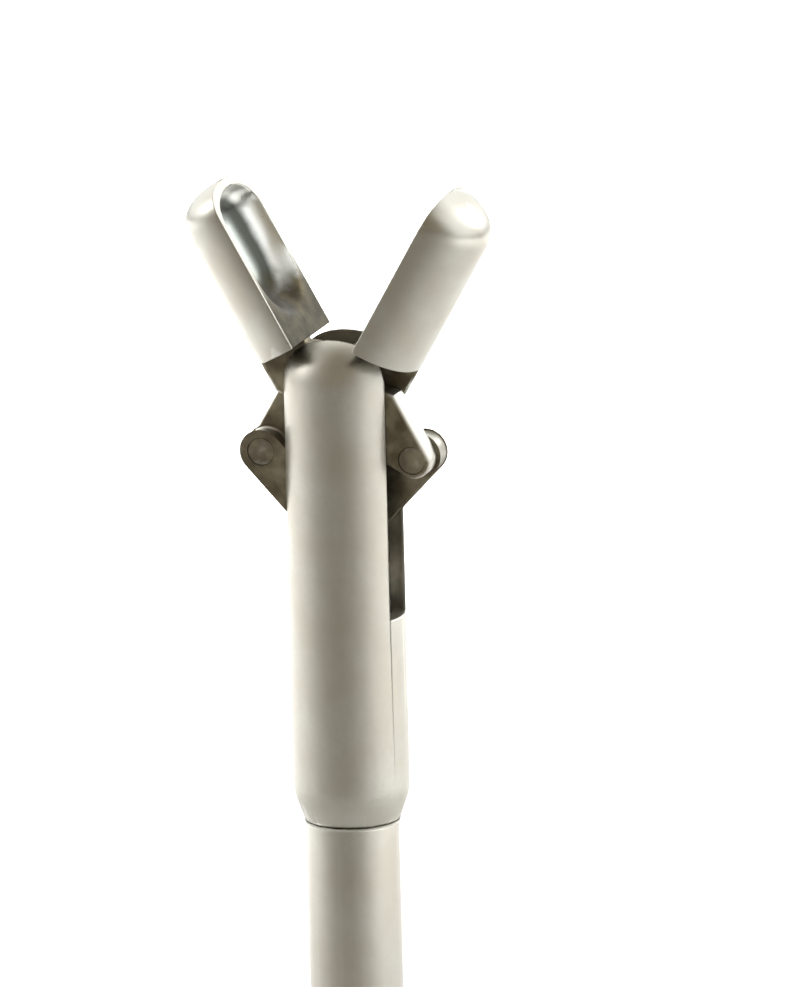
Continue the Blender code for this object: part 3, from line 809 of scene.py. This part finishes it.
# These pieces keep the shape they have.
keptNodes = {
    "pivot_pin": pinSteel,
    "guide_bush": bushBronze,
    "liner_sleeve": linerPlastic,
    "rod_seal": sealRubber,
    "seal_retainer": linerPlastic,
    "pull_rod": rodSteel,
    "drive_block": innerSteel,
    "rod_pin": innerSteel,
    "rod_dowel": innerSteel,
}
for name, finish in keptNodes.items():
    coat(nodes[name], finish)


print("floor, light and camera")
studio = {
    "azimuth": 19.3,
    "elevation": 14.2,
    "lean": 1.4,  # the tool leans this much to the left in the frame
    "distance": 1.0,
    "across": 34.19,  # width of the view in mm
    "aside": -2.474,  # the pivot's place from the middle of the view, in mm
    "raised": 4.436,
}


def makeFloor():
    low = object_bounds()[0][2]
    half = 4.0
    mesh = bpy.data.meshes.new("floor")
    corners = [(-half, -half, low), (half, -half, low), (half, half, low), (-half, half, low)]
    mesh.from_pydata(corners, [], [(0, 1, 2, 3)])
    floor = bpy.data.objects.new("floor", mesh)
    bpy.context.scene.collection.objects.link(floor)
    paint = Paint("paleFloor")
    paint.set(Base_Color=rgb(0.62, 0.62, 0.62), Roughness=0.9)
    paint.shader.inputs["Specular IOR Level"].default_value = 0.0
    floor.data.materials.append(paint.material)


light = {
    "tent": (1.9, 1.92, 1.92),  # glow of the studio tent, at the sides, behind and above
    "front": (0.36, 0.315, 0.24),  # the dim opening of the tent, on the camera's side
    "openingTurn": -15,  # its middle, in degrees from the camera's azimuth
    "openingEdges": (0.2, 0.85),  # cosine from its middle, where it ends and where it is full
    "roof": (0.6, 0.58, 0.5),
    "roofEdges": (0.8, 0.95),  # sine of the elevation where the tent turns to roof
}


# The studio's glow by direction: dim through the opening and overhead, bright all round. It shows in the
# steel and leaves the floor to the lamps.
def makeTent():
    world = bpy.data.worlds.new("tent")
    bpy.context.scene.world = world
    world.use_nodes = True
    world.cycles_visibility.diffuse = False
    paint = Nodes(world.node_tree)
    way = paint.node("ShaderNodeTexCoord", out="Generated")
    x, y, z = [paint.node("ShaderNodeSeparateXYZ", None, way, out=letter) for letter in "XYZ"]
    turn = math.radians(studio["azimuth"] + light["openingTurn"])
    level = (x * x + y * y).maths("SQRT").maths("MAXIMUM", 0.05)
    facing = (x * math.sin(turn) - y * math.cos(turn)).maths("DIVIDE", level)
    glow = paint.mix(z.rise(*light["roofEdges"]), rgb(*light["tent"]), rgb(*light["roof"]))
    glow = paint.mix(facing.rise(*light["openingEdges"]), glow, rgb(*light["front"]))
    paint.feed(world.node_tree.nodes["Background"].inputs["Color"], glow)


# A direction seen from the tool, turned from the camera's azimuth.
def bearing(turn, elevation):
    side, up = math.radians(studio["azimuth"] + turn), math.radians(elevation)
    return Vector((math.sin(side) * math.cos(up), -math.cos(side) * math.cos(up), math.sin(up)))


# A round soft light at a bearing, facing the jaws.
def softBox(name, turn, elevation, distance, size, energy):
    lamp = bpy.data.lights.new(name, "AREA")
    lamp.shape = "DISK"
    lamp.size = size
    lamp.energy = energy
    box = bpy.data.objects.new(name, lamp)
    bpy.context.scene.collection.objects.link(box)
    box.location = Vector((0, 0, pivotZ * mm)) + bearing(turn, elevation) * distance
    box.rotation_euler = bearing(turn, elevation).to_track_quat("Z", "Y").to_euler()


# A spot from straight above that lights a round patch of the floor. The steel doesn't mirror the lamp itself.
def floorSpot(name, turn, away, height, angle, energy):
    lamp = bpy.data.lights.new(name, "SPOT")
    lamp.spot_size = math.radians(angle)
    lamp.spot_blend = 1.0
    lamp.shadow_soft_size = 0.05
    lamp.energy = energy
    spot = bpy.data.objects.new(name, lamp)
    bpy.context.scene.collection.objects.link(spot)
    spot.location = bearing(turn, 0) * away + Vector((0, 0, height))
    spot.visible_glossy = False


# A soft even light from straight above for the whole floor, not mirrored either.
def overFloor(energy, colour):
    lamp = bpy.data.lights.new("overFloor", "SUN")
    lamp.angle = math.radians(25)
    lamp.color = colour
    lamp.energy = energy
    sun = bpy.data.objects.new("overFloor", lamp)
    bpy.context.scene.collection.objects.link(sun)
    sun.visible_glossy = False


def makeCamera():
    lean = math.radians(studio["lean"])
    toward = bearing(0, studio["elevation"])
    level = bearing(90, 0)
    upright = toward.cross(level)
    right = level * math.cos(lean) - upright * math.sin(lean)
    above = level * math.sin(lean) + upright * math.cos(lean)
    target = Vector((0, 0, pivotZ * mm)) - right * studio["aside"] * mm - above * studio["raised"] * mm
    data = bpy.data.cameras.new("camera")
    data.sensor_fit = "HORIZONTAL"
    data.sensor_width = 36
    data.lens = data.sensor_width * studio["distance"] / (studio["across"] * mm)
    data.clip_start = 0.01
    camera = bpy.data.objects.new("camera", data)
    bpy.context.scene.collection.objects.link(camera)
    turn = Matrix((right, above, toward)).transposed().to_4x4()
    camera.matrix_world = Matrix.Translation(target + toward * studio["distance"]) @ turn
    bpy.context.scene.camera = camera


softBoxes = {
    "sideLeft": {"turn": -98, "elevation": 27, "distance": 0.5, "size": 0.22, "energy": 0.7},
    "sideRight": {"turn": 120, "elevation": 27, "distance": 0.5, "size": 0.22, "energy": 0.7},
}
floorSpots = {
    "floorBack": {"turn": 170, "away": 0.3, "height": 0.45, "angle": 74, "energy": 42.0},
    "floorRight": {"turn": 75, "away": 0.2, "height": 0.32, "angle": 64, "energy": 18.0},
    "floorLeft": {"turn": -118, "away": 0.21, "height": 0.35, "angle": 64, "energy": 16.0},
}
makeFloor()
makeTent()
for name, settings in softBoxes.items():
    softBox(name, **settings)
for name, settings in floorSpots.items():
    floorSpot(name, **settings)
overFloor(1.4, (1, 0.93, 0.78))
makeCamera()
bpy.context.scene.view_settings.view_transform = "Standard"
